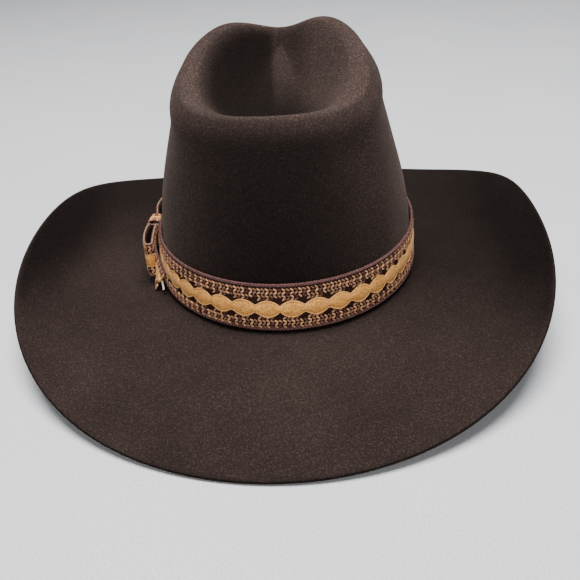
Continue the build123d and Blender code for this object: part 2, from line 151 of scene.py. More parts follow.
def middle_share(t):
    """Place along the middle line for angle t, -1 at the back to 1 at the front, in fairly even steps."""
    folded = np.arcsin(np.clip(np.sin(t), -1, 1))
    return (1 - EVEN_STEPS) * np.sin(t) + EVEN_STEPS * folded / (np.pi / 2)


def crease_point(t, q):
    """Point of the hollow top, from the ridge (q 0) down to the crease line (q 1)."""
    top_x, top_y, top_h = ridge(t)
    along = middle_share(t)
    low_h = CREASE_HEIGHT + CREASE_FRONT_RISE * along + CREASE_END_RISE * along * along
    low_y = CREASE_HALF_LENGTH * along - CREASE_SET_BACK
    h = top_h - (top_h - low_h) * smooth(q / CREASE_WALL_SHARE)
    x = top_x + (RIDGE_SHIFT - top_x) * q
    return np.stack([x, top_y + (low_y - top_y) * q, BREAK_Z + h], -1)


def sharp_point(t, w):
    """Upper face of the felt with sharp corners at the break and the ridge."""
    if w < 0:
        return brim_point(t, -w)
    if w <= 1:
        return wall_point(t, ridge(t)[2] * math.sin(w * math.pi / 2))
    return crease_point(t, w - 1)


def felt_point(t, w):
    """Upper face of the felt, with ridge and break rounded by short quadratic curves."""
    for low, corner, high in ((1 - RIDGE_ROUNDING, 1.0, 1 + RIDGE_ROUNDING),
                              (-BREAK_ROUNDING[0], 0.0, BREAK_ROUNDING[1])):
        if low < w < high:
            s = (w - low) / (high - low)
            mixed = sharp_point(t, low) * (1 - s) ** 2 + sharp_point(t, corner) * 2 * s * (1 - s)
            return mixed + sharp_point(t, high) * s ** 2
    return sharp_point(t, w)


turn = np.linspace(0, 2 * np.pi, 8, endpoint=False)
print("brim edge heights, mm", np.round(felt_point(turn, -1.0)[:, 2], 1))
print("ridge heights, mm", np.round(felt_point(turn, 1.0)[:, 2], 1))

# %% [markdown]
# ## Camera, table and light
# The camera looks at the back of the hat from about 31 degrees above. It is made first, so that every later
# piece can be judged from where it is seen. The main light is one large soft panel over the table: felt
# swallows light, and a broad panel shows the roll of the brim without hard edges. A smaller and weaker panel
# behind the camera and a faint sky fill the shadows.

# %% Camera
SENSOR_MM, LENS_MM = 36.0, 46.204
CAMERA_PLACE = (42.0, -469.5, 274.9)
CAMERA_PITCH, CAMERA_YAW, CAMERA_ROLL = 31.17, -5.15, -2.97


def add_object(name, data):
    made = bpy.data.objects.new(name, data)
    bpy.context.scene.collection.objects.link(made)
    return made


def place_camera(place_mm, pitch, yaw, roll):
    """Camera that looks down by the pitch, sideways by the yaw, and rolls about its own axis, in degrees."""
    data = bpy.data.cameras.new("camera")
    data.sensor_width = SENSOR_MM
    data.lens = LENS_MM
    data.clip_start = 0.01
    camera = add_object("camera", data)
    camera.location = [c * MM for c in place_mm]
    pitch, yaw, roll = (math.radians(a) for a in (pitch, yaw, roll))
    ahead = Vector((math.sin(yaw) * math.cos(pitch), math.cos(yaw) * math.cos(pitch), -math.sin(pitch)))
    turned = ahead.to_track_quat("-Z", "Y").to_matrix()
    own_axis = turned @ Vector((0, 0, 1))
    camera.rotation_euler = turned.to_euler()
    camera.rotation_euler.rotate(Quaternion(own_axis, roll))
    bpy.context.scene.camera = camera
    return camera


camera = place_camera(CAMERA_PLACE, CAMERA_PITCH, CAMERA_YAW, CAMERA_ROLL)
print("camera lens", round(camera.data.lens, 1), "mm at", tuple(round(c, 3) for c in camera.location))

# %% [markdown]
# ### Writing node trees as short text
# Shaders and Geometry Nodes are both graphs. A small Graph class adds one node per call, with its sockets and
# its settings, and a Number class lets shader maths be written as plain expressions: each operator adds
# one Math node.

# %% Helpers for node graphs
class Number:
    """A value socket that understands + - and *."""

    def __init__(self, graph, socket):
        self.graph = graph
        self.socket = socket

    def _math(self, operation, first, second):
        return self.graph.math(operation, first, second)

    def __add__(self, other):
        return self._math("ADD", self, other)

    def __mul__(self, other):
        return self._math("MULTIPLY", self, other)

    def __sub__(self, other):
        return self._math("SUBTRACT", self, other)


class Graph:
    """Adds nodes to a shader or geometry tree."""

    def __init__(self, tree):
        self.tree = tree

    def node(self, kind, sockets=None, **settings):
        node = self.tree.nodes.new(kind)
        for key, value in settings.items():
            setattr(node, key, value)
        for key, value in (sockets or {}).items():
            self.feed(node.inputs[key], value)
        return node

    def made(self, kind, sockets, **settings):
        """Add a node and give its first output."""
        return self.node(kind, sockets, **settings).outputs[0]

    def feed(self, socket, value):
        if isinstance(value, Number):
            value = value.socket
        if isinstance(value, bpy.types.NodeSocket):
            self.tree.links.new(value, socket)
        else:
            socket.default_value = value

    def number(self, kind, sockets=None, output=0, **settings):
        return Number(self, self.node(kind, sockets, **settings).outputs[output])

    def math(self, operation, *values):
        return self.number("ShaderNodeMath", dict(enumerate(values)), operation=operation)


def rgb(red, green, blue):
    """Linear colour from the 0 to 255 numbers of a paint chart."""
    return tuple(((c / 255 + 0.055) / 1.055) ** 2.4 for c in (red, green, blue))


print("felt brown as linear colour", tuple(round(c, 4) for c in rgb(66, 55, 52)))

# %% A material recipe that every finish shares
class Finish(Graph):
    """One material: a Principled shader, object coordinates in metres, and methods for common layers.

    Keyword arguments are constants of the shader, with _ for each space in their names."""

    def __init__(self, name, **constants):
        self.material = bpy.data.materials.new(name)
        self.material.use_nodes = True
        super().__init__(self.material.node_tree)
        self.shader = self.tree.nodes["Principled BSDF"]
        for label, value in constants.items():
            self.shader.inputs[label.replace("_", " ")].default_value = value
        self.place = self.node("ShaderNodeTexCoord").outputs["Object"]

    def noise(self, scale, detail=2.0, roughness=0.5):
        sockets = {"Vector": self.place, "Scale": scale, "Detail": detail, "Roughness": roughness}
        return self.number("ShaderNodeTexNoise", sockets)

    def attribute(self, name):
        return self.number("ShaderNodeAttribute", output="Fac", attribute_name=name)

    def mix(self, share, first, second, blend="MIX"):
        node = self.node("ShaderNodeMix", data_type="RGBA", blend_type=blend)
        self.feed(node.inputs[0], share)
        for index, colour in ((6, first), (7, second)):
            self.feed(node.inputs[index], (*colour, 1.0) if isinstance(colour, tuple) else colour)
        return node.outputs[2]

    def stretch(self, value, low, high, to_low=0.0, to_high=1.0):
        """Map low..high onto to_low..to_high and stop at both ends."""
        sockets = {0: value, 1: low, 2: high, 3: to_low, 4: to_high}
        return self.number("ShaderNodeMapRange", sockets, clamp=True)

    def colour(self, socket):
        self.feed(self.shader.inputs["Base Color"], socket)

    def roughness(self, value):
        self.feed(self.shader.inputs["Roughness"], value)

    def bump(self, height, depth_mm, strength=1.0):
        sockets = {"Height": height, "Distance": depth_mm * MM, "Strength": strength}
        self.feed(self.shader.inputs["Normal"], self.made("ShaderNodeBump", sockets))


print("shared layers:", [name for name in vars(Finish) if not name.startswith("_")])

# %% Table and light
def make_table():
    bpy.ops.mesh.primitive_plane_add(size=6.0)
    table = bpy.context.object
    table.name = "table"
    finish = Finish("pale_table", Roughness=0.75)
    grain = finish.noise(900, 3.0)
    cloud = finish.noise(9, 2.0)
    pale = finish.mix(finish.stretch(cloud, 0.35, 0.65), rgb(226, 228, 231), rgb(219, 222, 227))
    finish.colour(finish.mix(finish.stretch(grain, 0.4, 0.62), pale, rgb(206, 209, 214)))
    finish.bump(grain, 0.25, 0.5)
    table.data.materials.append(finish.material)
    return table


def make_light(name, place, aim, size, power, colour):
    data = bpy.data.lights.new(name, "AREA")
    data.shape = "DISK"
    data.size = size
    data.energy = power
    data.color = colour
    light = add_object(name, data)
    light.location = place
    light.rotation_euler = (Vector(aim) - Vector(place)).to_track_quat("-Z", "Y").to_euler()


def make_sky(colour, strength):
    world = bpy.data.worlds.new("sky")
    world.use_nodes = True
    world.node_tree.nodes["Background"].inputs["Color"].default_value = (*colour, 1.0)
    world.node_tree.nodes["Background"].inputs["Strength"].default_value = strength
    bpy.context.scene.world = world


make_table()
make_light("overhead_panel", (0.0, -0.12, 1.7), (0, 0, 0), 1.1, 66, (1.0, 0.98, 0.96))
make_light("fill_panel", (0.35, -1.7, 0.75), (0, 0, 0.05), 0.8, 13, (1.0, 0.97, 0.94))
make_sky((0.85, 0.9, 1.0), 0.14)

# %% [markdown]
# ## The felt body
# The felt is one closed skin: the rule's upper face, a rounded raw edge round the brim, and the lower face
# one thickness below. The rows of points collapse on the crease line, where the left and right halves are
# merged, so nothing is left open. Slow waves of a few tenths of a millimetre run over it, as on any hat
# shaped by hand.

# %% Mesh helpers
def mesh_object(name, rows, faces, material, merge=0.0):
    """Mesh from rows of points in millimetres, normals outward; a merge distance closes seams and poles."""
    mesh = bpy.data.meshes.new(name)
    mesh.from_pydata((rows.reshape(-1, 3) * MM).tolist(), [], faces)
    work = bmesh.new()
    work.from_mesh(mesh)
    if merge:
        bmesh.ops.remove_doubles(work, verts=work.verts, dist=merge * MM)
    bmesh.ops.recalc_face_normals(work, faces=work.faces)
    work.to_mesh(mesh)
    work.free()
    mesh.shade_smooth()
    mesh.materials.append(material)
    return add_object(name, mesh)


def grid_faces(rows, columns, wrap_rows=False, wrap_columns=True):
    """Quads between neighbouring rows of points."""
    quads = []
    for i in range(rows if wrap_rows else rows - 1):
        for j in range(columns if wrap_columns else columns - 1):
            k, m = (i + 1) % rows, (j + 1) % columns
            quads.append((i * columns + j, i * columns + m, k * columns + m, k * columns + j))
    return quads


def unit(vectors):
    return vectors / np.maximum(np.linalg.norm(vectors, axis=-1, keepdims=True), 1e-9)


def grid_normals(grid):
    """Unit normals of a grid whose columns go round."""
    along = np.roll(grid, -1, 1) - np.roll(grid, 1, 1)
    return unit(np.cross(along, np.gradient(grid, axis=0)))


print("mesh helpers ready")

# %% Felt mesh
FELT_COLUMNS = 300
EDGE_STEPS = 6
BRIM_ROWS = [-1 + 0.95 * (i / 40) for i in range(40)]
CROWN_ROWS = [-0.05 + 0.01 * i for i in range(9)] + [0.04 + 0.78 * (i / 34) for i in range(1, 34)]
TOP_ROWS = [0.82 + 0.36 * i / 18 for i in range(19)] + [1.18 + 0.82 * i / 22 for i in range(1, 23)]


def hand_waves(grid):
    """Slow uneven lifts, in millimetres, of a hat that was shaped over steam by hand."""
    x, y, z = grid[..., 0], grid[..., 1], grid[..., 2]
    wave = 0.35 * np.sin(x / 23 + 1.3) * np.sin(y / 31 + 0.4) + 0.22 * np.sin(x / 11 - y / 17 + z / 13)
    return wave + 0.12 * np.sin(y / 7.0 + x / 9.0 + 2.0)


def make_felt(material):
    angles = np.linspace(0, 2 * np.pi, FELT_COLUMNS, endpoint=False)
    rows = BRIM_ROWS + CROWN_ROWS + TOP_ROWS
    top = np.stack([felt_point(angles, w) for w in rows])
    normal = grid_normals(top)
    for _ in range(2):
        evened = normal * 2 + np.roll(normal, 1, 1) + np.roll(normal, -1, 1)
        evened[1:-1] += normal[2:] + normal[:-2]
        normal = unit(evened)
    normal[-1] = (0, 0, 1)
    fade = np.ones(len(rows))
    fade[:3] = (0, 0.3, 0.7)
    fade[-4:] = (0.7, 0.4, 0.2, 0.0)
    top = top + normal * (hand_waves(top) * fade[:, None])[..., None]
    under = top - normal * FELT
    under[-1] = top[-1] - np.array([0, 0, FELT * 1.15])
    middle, half = (top[0] + under[0]) / 2, (top[0] - under[0]) / 2
    bulge = unit(top[0] - top[1]) * FELT / 2 * 0.8
    turns = [math.pi * k / EDGE_STEPS for k in range(1, EDGE_STEPS)]
    edge = np.stack([middle + half * math.cos(turn) + bulge * math.sin(turn) for turn in turns])
    grid = np.concatenate([top[::-1], edge, under])
    felt = mesh_object("felt_hat", grid, grid_faces(len(grid), FELT_COLUMNS), material, merge=0.01)
    store_nap(felt.data)
    return felt


def crease_shade(x, y, z):
    """Painted shade of the crease: 1 on its left flank, less on the right, 0 elsewhere."""
    s = np.clip((y + RIDGE_SET_BACK) / RIDGE_HALF_LENGTH, -1, 1)
    half = (RIDGE_HALF_WIDTH - RIDGE_FRONT_TAPER * s) * np.sqrt(1 - s * s)
    crest = RIDGE_HEIGHT + RIDGE_FRONT_RISE * s + RIDGE_SIDE_RISE * (1 - 2 * s * s)
    deep = smooth((BREAK_Z + crest + RIDGE_DIP * (3 * s - 4 * s ** 3) - z) / 13)
    inside = smooth((0.95 * half - np.abs(x - RIDGE_SHIFT)) / 10)
    left = smooth((RIDGE_SHIFT + 6 - 0.08 * y - x) / 12)
    flank = 0.6 * smooth((RIDGE_SHIFT + 26 - x) / 18)
    return inside * deep * np.maximum(left, flank)


def store_nap(mesh):
    """Paint light and shade into the felt: faces that look up or down, the near brim and the top and sides of
    the crown lighter; steep felt and the crease darker.
    """
    places, normals = np.zeros((2, len(mesh.vertices) * 3))
    mesh.vertices.foreach_get("co", places)
    mesh.vertices.foreach_get("normal", normals)
    x, y, z = (places.reshape(-1, 3) / MM).T
    facing_side, _, facing_up = normals.reshape(-1, 3).T
    # painted light: faces that look up are lighter, and faces that look down a little lighter too
    level = smooth((facing_up - 0.64) / 0.35) + 0.5 * smooth(-facing_up / 0.5)
    crown = smooth((z - 100) / 20)
    # painted shade in the crease
    hollow = crown * crease_shade(x, y, z)
    # painted light: the near side of the brim lighter, the far side darker
    painted_near_light = 0.25 + 0.75 * smooth((60 - y - 0.5 * x) / 160)
    # painted light on the top of the crown
    painted_top_light = smooth((z - 126) / 22)
    on_crown = smooth((1.12 - (x / 85.5) ** 2 - (y / 104.5) ** 2) / 0.1)
    # painted sheen: the crown's sides painted lighter where they face left or right
    sides = 1.1 * np.abs(facing_side) ** 2.5 * smooth((z - 30) / 25) * (1 - painted_top_light) * on_crown
    brim = level * painted_near_light * 0.42 * (1 - crown)
    # all of it is painted light and shade, darkened by the painted shade of the crease
    painted_light_and_shade = (brim + (0.35 * level + 0.85) * painted_top_light + sides) * (1 - 0.97 * hollow)
    # the stored attribute holds the felt's painted light and shade
    stored = mesh.attributes.new("nap", "FLOAT", "POINT")
    stored.data.foreach_set("value", painted_light_and_shade.astype(np.float32))


def make_felt_finish():
    """Dark brown wool felt: speckled fibres, painted light on level and high places and painted shade on
    steep ones and in the crease, and a soft sheen.
    """
    finish = Finish("brown_felt", Roughness=0.92, Sheen_Weight=0.12, Sheen_Roughness=0.22,
                    Sheen_Tint=(0.62, 0.50, 0.45, 1.0), Specular_IOR_Level=0.1)
    fibre = finish.noise(1500, 3.0, 0.65)
    fleck = finish.noise(950, 2.0, 0.6)
    cloud = finish.noise(22, 3.0, 0.55)
    # painted light: the lit brown of the felt; the dark brown below is its painted shade
    painted_lit_felt = finish.mix(finish.stretch(cloud, 0.32, 0.68), rgb(60, 49, 46), rgb(71, 59, 55))
    # painted light and shade: the stored attribute mixes the shaded dark brown with the lit brown
    base = finish.mix(finish.attribute("nap"), rgb(19, 13, 11), painted_lit_felt)
    dark = finish.mix(finish.stretch(fibre, 0.36, 0.66, 0.0, 0.9), base, (0.4, 0.38, 0.36), "MULTIPLY")
    light = finish.mix(finish.stretch(fleck, 0.5, 0.66, 0.0, 0.8), dark, (2.3, 2.25, 2.2), "MULTIPLY")
    lint = finish.noise(2600, 1.0)
    finish.colour(finish.mix(finish.stretch(lint, 0.7, 0.8, 0.0, 0.55), light, rgb(120, 104, 98)))
    finish.bump(fibre * 0.6 + fleck * 0.4, 0.6, 0.9)
    return finish.material


felt = make_felt(make_felt_finish())
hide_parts("felt_body")
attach(felt, "hat")
print("felt faces", len(felt.data.polygons))

# %% [markdown]
# ## Carrying flat trim round a curved hat
# The band is a flat woven trim: a maroon cord along each edge, two lattices of slanting stitches, and a gold
# strip of ovals along the middle. The same trim makes the bow. So each pattern is drawn once in flat trim
# coordinates, and a placer carries it to its place: u runs along the trim from 0 to 1, v across it in
# millimetres from the lower edge, and d out of its face. One placer follows the crown wall by its arc length,
# the others follow the straps of the bow.

# %% Placers
BAND_FROM_BREAK, BAND_CLEARANCE = 3.0, 0.6
TRIM_HEIGHT = 29.8
TRIM_MIDDLE = TRIM_HEIGHT / 2
PITCHES = 41
STITCHES_PER_PITCH = 6
BAND_PHASE = 0.19
BACK = -math.pi / 2
STRAP_SAMPLES = 400


def shares_along(line):
    """Share of the length at each point of a line, and its whole length."""
    lengths = np.concatenate([[0], np.cumsum(np.linalg.norm(np.diff(line, axis=0), axis=1))])
    return lengths / lengths[-1], lengths[-1]


def columns_at(u, knots, table):
    """Rows of a table read between its knots."""
    return np.stack([np.interp(u, knots, table[:, k]) for k in range(3)], -1)


RING_ANGLES = np.linspace(BACK, BACK + 2 * np.pi, 1441)
RING_SHARES, RING_LENGTH = shares_along(wall_point(RING_ANGLES, 18.0, -2.0))


def ring_place(u, v, d):
    """Placer of the band: round the crown wall, outside the felt."""
    u = np.asarray(u, float)
    angle = np.interp((u + BAND_PHASE / PITCHES) % 1.0, RING_SHARES, RING_ANGLES)
    return wall_point(angle, BAND_FROM_BREAK + v, -(BAND_CLEARANCE + d))


def strap_placer(centres, acrosses, scale=1.0, pinch=1.0, pinch_share=0.25, closed=False, face=1.0,
                 both_ends=False):
    """Placer of a strap on a smooth curve through centre points, each with its direction across the strap.

    The strap's width is scaled, and narrowed to the pinch at its start or at both ends."""
    centres, acrosses = np.array(centres, float), np.array(acrosses, float)
    knots = np.arange(len(centres))
    fine = np.linspace(0, len(centres) - 1, STRAP_SAMPLES)
    before = np.clip(fine.astype(int), 0, len(centres) - 2)
    part = (fine - before)[:, None]
    ahead, behind = 2 * centres[:1] - centres[1:2], 2 * centres[-1:] - centres[-2:-1]
    if closed:
        ahead, behind = centres[-2:-1], centres[1:2]
    padded = np.concatenate([ahead, centres, behind])
    p0, p1, p2, p3 = (padded[before + k] for k in range(4))
    line = 0.5 * (2 * p1 + (p2 - p0) * part + (2 * p0 - 5 * p1 + 4 * p2 - p3) * part ** 2)
    line += 0.5 * (3 * p1 - p0 - 3 * p2 + p3) * part ** 3
    across = unit(columns_at(fine, knots, acrosses))
    shares, length = shares_along(line)
    out = unit(np.cross(unit(np.gradient(line, axis=0)), across)) * face

    def place(u, v, d):
        u = np.asarray(u, float) % 1.0 if closed else np.clip(u, 0, 1)
        from_end = np.minimum(u, 1 - u) if both_ends else u
        width = scale * (pinch + (1 - pinch) * smooth(from_end / pinch_share))
        sideways = columns_at(u, shares, across) * ((v - TRIM_MIDDLE) * width)[..., None]
        return columns_at(u, shares, line) + sideways + columns_at(u, shares, out) * (d + 0 * u)[..., None]

    return place, length


print("band length", round(RING_LENGTH, 1), "mm, one oval every", round(RING_LENGTH / PITCHES, 1), "mm")

# %% [markdown]
# ### A path that a node tree can follow
# Geometry Nodes can repeat a shape along a line, but it must know which way is out of the trim and which
# way is across it. So each path is a chain of vertices with three stored vectors, `along`, `up` and `out`.
# Two trees grow the detail: one twists strands into a cord, one sets slanting stitches in a row.

# %% Paths
def make_path(place, v, d, samples, closed):
    """Chain of vertices along the trim at v and d, with its three directions stored."""
    u = np.arange(samples) / (samples if closed else samples - 1)
    points = place(u, v + 0 * u, d)
    out = unit(place(u, v + 0 * u, d + 0.2) - points)
    up = unit(place(u, v + 0.2 + 0 * u, d) - points)
    along = unit(np.cross(up, out)) if closed else unit(np.gradient(points, axis=0))
    mesh = bpy.data.meshes.new("path")
    edges = [(i, i + 1) for i in range(samples - 1)] + ([(samples - 1, 0)] if closed else [])
    mesh.from_pydata((points * MM).tolist(), edges, [])
    for label, vectors in (("along", along), ("up", up), ("out", out)):
        stored = mesh.attributes.new(label, "FLOAT_VECTOR", "POINT")
        stored.data.foreach_set("vector", vectors.astype(np.float32).ravel())
    return add_object("path", mesh)


def new_tree(name, count_label, inputs):
    """Geometry tree with named inputs that resamples its path to a number of points."""
    tree = bpy.data.node_groups.new(name, "GeometryNodeTree")
    for way in ("INPUT", "OUTPUT"):
        tree.interface.new_socket("Geometry", in_out=way, socket_type="NodeSocketGeometry")
    for label, kind in inputs.items():
        tree.interface.new_socket(label, in_out="INPUT", socket_type="NodeSocket" + kind)
    graph = Graph(tree)
    start = graph.node("NodeGroupInput")
    curve = graph.made("GeometryNodeMeshToCurve", {"Mesh": start.outputs["Geometry"]})
    count = {"Curve": curve, "Count": start.outputs[count_label]}
    return graph, start, graph.made("GeometryNodeResampleCurve", count, mode="COUNT")


def end_tree(graph, start, geometry):
    """Make instances real, smooth them, give them the material and hand them out."""
    real = graph.made("GeometryNodeRealizeInstances", {0: geometry})
    soft = graph.made("GeometryNodeSetShadeSmooth", {0: real})
    painted = {"Geometry": soft, "Material": start.outputs["Material"]}
    end = graph.node("NodeGroupOutput")
    graph.feed(end.inputs[0], graph.made("GeometryNodeSetMaterial", painted))
    print("tree", graph.tree.name, "with", len(graph.tree.nodes), "nodes")
    return graph.tree


def grow(name, path, tree, values, material):
    """Run a tree on a path, keep the result as a plain mesh, and drop the path."""
    modifier = path.modifiers.new("grow", "NODES")
    modifier.node_group = tree
    for item in tree.interface.items_tree:
        if item.in_out == "INPUT" and item.name in values:
            modifier[item.identifier] = values[item.name]
        if item.in_out == "INPUT" and item.name == "Material":
            modifier[item.identifier] = material
    evaluated = path.evaluated_get(bpy.context.evaluated_depsgraph_get())
    mesh = bpy.data.meshes.new_from_object(evaluated)
    mesh.name = name
    bpy.data.objects.remove(path)
    return add_object(name, mesh)


def share_of(graph, label, factor):
    """The path's stored direction of that name, times a factor."""
    vector = graph.made("GeometryNodeInputNamedAttribute", {"Name": label}, data_type="FLOAT_VECTOR")
    return graph.made("ShaderNodeVectorMath", {"Vector": vector, "Scale": factor}, operation="SCALE")


def added(graph, first, second):
    return graph.made("ShaderNodeVectorMath", {0: first, 1: second}, operation="ADD")


print("path tools ready")

# %% The twisted cord tree
def cord_tree():
    graph, start, curve = new_tree("Twisted cord", "Points", {
        "Strand Radius": "Float", "Lay Radius": "Float", "Turns": "Float", "Points": "Int",
        "Material": "Material"})
    factor = graph.number("GeometryNodeSplineParameter")
    lay = Number(graph, start.outputs["Lay Radius"])
    turns = Number(graph, start.outputs["Turns"])
    circle = {"Resolution": 6, "Radius": start.outputs["Strand Radius"]}
    profile = graph.made("GeometryNodeCurvePrimitiveCircle", circle)
    join = graph.node("GeometryNodeJoinGeometry")
    for strand in range(2):
        angle = factor * turns * (2 * math.pi) + strand * math.pi
        outwards = share_of(graph, "out", graph.math("COSINE", angle) * lay)
        upwards = share_of(graph, "up", graph.math("SINE", angle) * lay)
        moved = {"Geometry": curve, "Offset": added(graph, outwards, upwards)}
        swept = {"Curve": graph.made("GeometryNodeSetPosition", moved), "Profile Curve": profile,
                 "Fill Caps": True}
        graph.feed(join.inputs[0], graph.made("GeometryNodeCurveToMesh", swept))
    return end_tree(graph, start, join.outputs[0])


CORD_TREE = cord_tree()

# %% The stitch row tree
def stitch_tree():
    """Beans on the points of a path; a small Reach leaves out the ones nearest the necks of the ovals."""
    graph, start, curve = new_tree("Stitch row", "Count", {
        "Count": "Int", "Length": "Float", "Thickness": "Float", "Lean": "Float", "Reach": "Float",
        "Seed": "Int", "Material": "Material"})
    index = graph.number("GeometryNodeInputIndex")
    random = {2: -1.0, 3: 1.0, 8: start.outputs["Seed"]}
    jitter = graph.number("FunctionNodeRandomValue", random, output=1, data_type="FLOAT")
    shade = graph.math("MODULO", index, 2.0) * 0.6 + jitter * 0.25 + 0.2
    stored = {"Geometry": curve, "Name": "shade", "Value": shade}
    curve = graph.made("GeometryNodeStoreNamedAttribute", stored, data_type="FLOAT", domain="POINT")
    phase = graph.math("MODULO", index + 0.5, float(STITCHES_PER_PITCH)) - STITCHES_PER_PITCH / 2
    keep = graph.math("LESS_THAN", graph.math("ABSOLUTE", phase), Number(graph, start.outputs["Reach"]))
    lean = Number(graph, start.outputs["Lean"]) + jitter * 0.14
    along = share_of(graph, "along", graph.math("COSINE", lean))
    across = share_of(graph, "up", graph.math("SINE", lean))
    axes = {"Primary Axis": added(graph, along, across), "Secondary Axis": share_of(graph, "out", 1.0)}
    turned = graph.made("FunctionNodeAxesToRotation", axes, primary_axis="X", secondary_axis="Z")
    bean = graph.made("GeometryNodeMeshUVSphere", {"Segments": 7, "Rings": 5, "Radius": 0.5})
    sizes = {"X": start.outputs["Length"], "Y": start.outputs["Thickness"], "Z": start.outputs["Thickness"]}
    size = graph.made("ShaderNodeCombineXYZ", sizes)
    placed = {"Points": curve, "Selection": keep, "Instance": bean, "Rotation": turned, "Scale": size}
    return end_tree(graph, start, graph.made("GeometryNodeInstanceOnPoints", placed))


STITCH_TREE = stitch_tree()

# %% Joining grown rows
STRAND_SHARE, LAY_SHARE, POINTS_PER_TURN = 0.54, 0.52, 8


def joined(name, parts):
    """One object from several meshes of the same finish."""
    work = bmesh.new()
    materials = list(parts[0].data.materials)
    for part in parts:
        work.from_mesh(part.data)
        bpy.data.objects.remove(part)
    mesh = bpy.data.meshes.new(name)
    work.to_mesh(mesh)
    work.free()
    for material in materials:
        mesh.materials.append(material)
    return add_object(name, mesh)


def twisted(name, place, length, closed, rows, radius, twist_mm, material):
    """Twisted cords along rows of (v, d)."""
    turns = max(1, round(length / twist_mm))
    values = {"Strand Radius": radius * STRAND_SHARE * MM, "Lay Radius": radius * LAY_SHARE * MM,
              "Turns": float(turns), "Points": turns * POINTS_PER_TURN}
    paths = [make_path(place, v, d, 360 if closed else 80, closed) for v, d in rows]
    return joined(name, [grow(name, path, CORD_TREE, values, material) for path in paths])


def stitched(name, place, closed, count, rows, length, thickness, material):
    """Rows of slanting stitches; each row is (v, d, lean in degrees, reach)."""
    parts = []
    for seed, (v, d, lean, reach) in enumerate(rows, 1):
        values = {"Length": length * MM, "Thickness": thickness * MM, "Lean": math.radians(lean),
                  "Reach": float(reach), "Count": count, "Seed": seed}
        parts.append(grow(name, make_path(place, v, d, count * 2, closed), STITCH_TREE, values, material))
    return joined(name, parts)


print("cord and stitch makers ready")

# %% [markdown]
# ### Solid strips
# Ribbons, nets, the strip of ovals and the leather are strips with a face, a back and two edges. The maker
# takes the two edges as functions of u and a profile across the strip, and closes the skin all round.

# %% Strip maker
def make_strip(name, place, columns, closed, low, high, face, back, material, across=9):
    """Closed strip from v = low(u) to v = high(u); face(s, u) and back are heights over the placer's zero."""
    u = np.arange(columns) / (columns if closed else columns - 1)
    share = np.linspace(-1, 1, across)
    edge_to_edge = [low(u) + (high(u) - low(u)) * (s + 1) / 2 for s in share]
    rows = [place(u, v, face(s, u)) for s, v in zip(share, edge_to_edge)]
    rows += [place(u, v, back + 0 * u) for v in reversed(edge_to_edge)]
    count = len(rows)
    faces = grid_faces(count, columns, wrap_rows=True, wrap_columns=closed)
    last = columns - 1
    for i in range(0 if closed else across - 1):
        ring = [i * columns, (i + 1) * columns, (count - 2 - i) * columns, (count - 1 - i) * columns]
        faces += [tuple(ring), tuple(ring[k] + last for k in (0, 3, 2, 1))]
    return mesh_object(name, np.stack(rows), faces, material)


def always(value):
    """Edge of a strip at one v."""
    return lambda u: value + 0 * u


def flat(value):
    """Profile of a strip with one height."""
    return lambda s, u: value + 0 * u


def pillow(edge, rise):
    """Profile across a strip: low at its edges, higher along the middle."""
    return lambda s, u: edge + rise * math.sqrt(max(1 - s * s, 0.0)) + 0 * u


print("strip maker ready")

# %% [markdown]
# ## Finishes of the trim
# Thread is matt and a little fuzzy, so these are rough with a soft sheen. The lattice reads its `shade` from
# each stitch, so tan and maroon threads alternate. The ovals are a close gold weave with darker flecks.

# %% Trim finishes
def thread_finish(name, dark, light, shade_attribute=False, rough=0.85, sheen=0.08):
    """Fuzzy thread between two colours; a stored shade makes whole stitches darker or lighter."""
    finish = Finish(name, Roughness=rough, Sheen_Weight=sheen, Specular_IOR_Level=0.2)
    fuzz = finish.noise(1400)
    share = finish.stretch(fuzz, 0.35, 0.65)
    if shade_attribute:
        share = finish.stretch(finish.attribute("shade") + (fuzz - 0.5) * 0.8, 0.0, 0.9)
    finish.colour(finish.mix(share, dark, light))
    finish.bump(fuzz, 0.15, 0.8)
    return finish.material


def oval_finish(name):
    """Close gold weave with brown and pale flecks."""
    finish = Finish(name, Roughness=0.8, Sheen_Weight=0.12, Specular_IOR_Level=0.3)
    fleck = finish.noise(1250, 2.0, 0.6)
    cloud = finish.noise(260, 2.0)
    gold = finish.mix(finish.stretch(cloud, 0.35, 0.65), rgb(220, 150, 66), rgb(234, 168, 84))
    speckled = finish.mix(finish.stretch(fleck, 0.5, 0.64, 0.0, 0.75), gold, rgb(146, 90, 44))
    finish.colour(finish.mix(finish.stretch(fleck, 0.32, 0.42, 0.6, 0.0), speckled, rgb(248, 202, 134)))
    finish.bump(fleck, 0.3, 0.8)
    return finish.material


NET = thread_finish("dark_net", rgb(26, 13, 11), rgb(54, 32, 27), sheen=0.0)
CORD = thread_finish("maroon_cord", rgb(60, 34, 33), rgb(112, 76, 72))
LATTICE = thread_finish("lattice_thread", rgb(70, 34, 30), rgb(196, 146, 108), shade_attribute=True)
# painted light: a lighter copy of the maroon cord, used for the cords of the bow's loops where the cord looks
# lit
LIGHT_CORD = thread_finish("light_cord", rgb(104, 74, 60), rgb(176, 138, 112))
FRAY = thread_finish("frayed_thread", rgb(190, 176, 150), rgb(240, 232, 214))
OUTLINE = thread_finish("gold_thread", rgb(206, 144, 76), rgb(242, 192, 124))
OVALS = oval_finish("gold_weave")
print("trim finishes", [m.name for m in (NET, CORD, LIGHT_CORD, FRAY, LATTICE, OUTLINE, OVALS)])

# %% [markdown]
# ## The trim pattern
# Rows from the lower edge, in millimetres of v: cord at 1.1, lattice rows, ovals from 9.2 to 19.4, lattice
# rows, cord at 28.9. Next to each neck of the ovals the inner stitches are missing, which leaves the
# small dark holes that make the chain of ovals stand out.

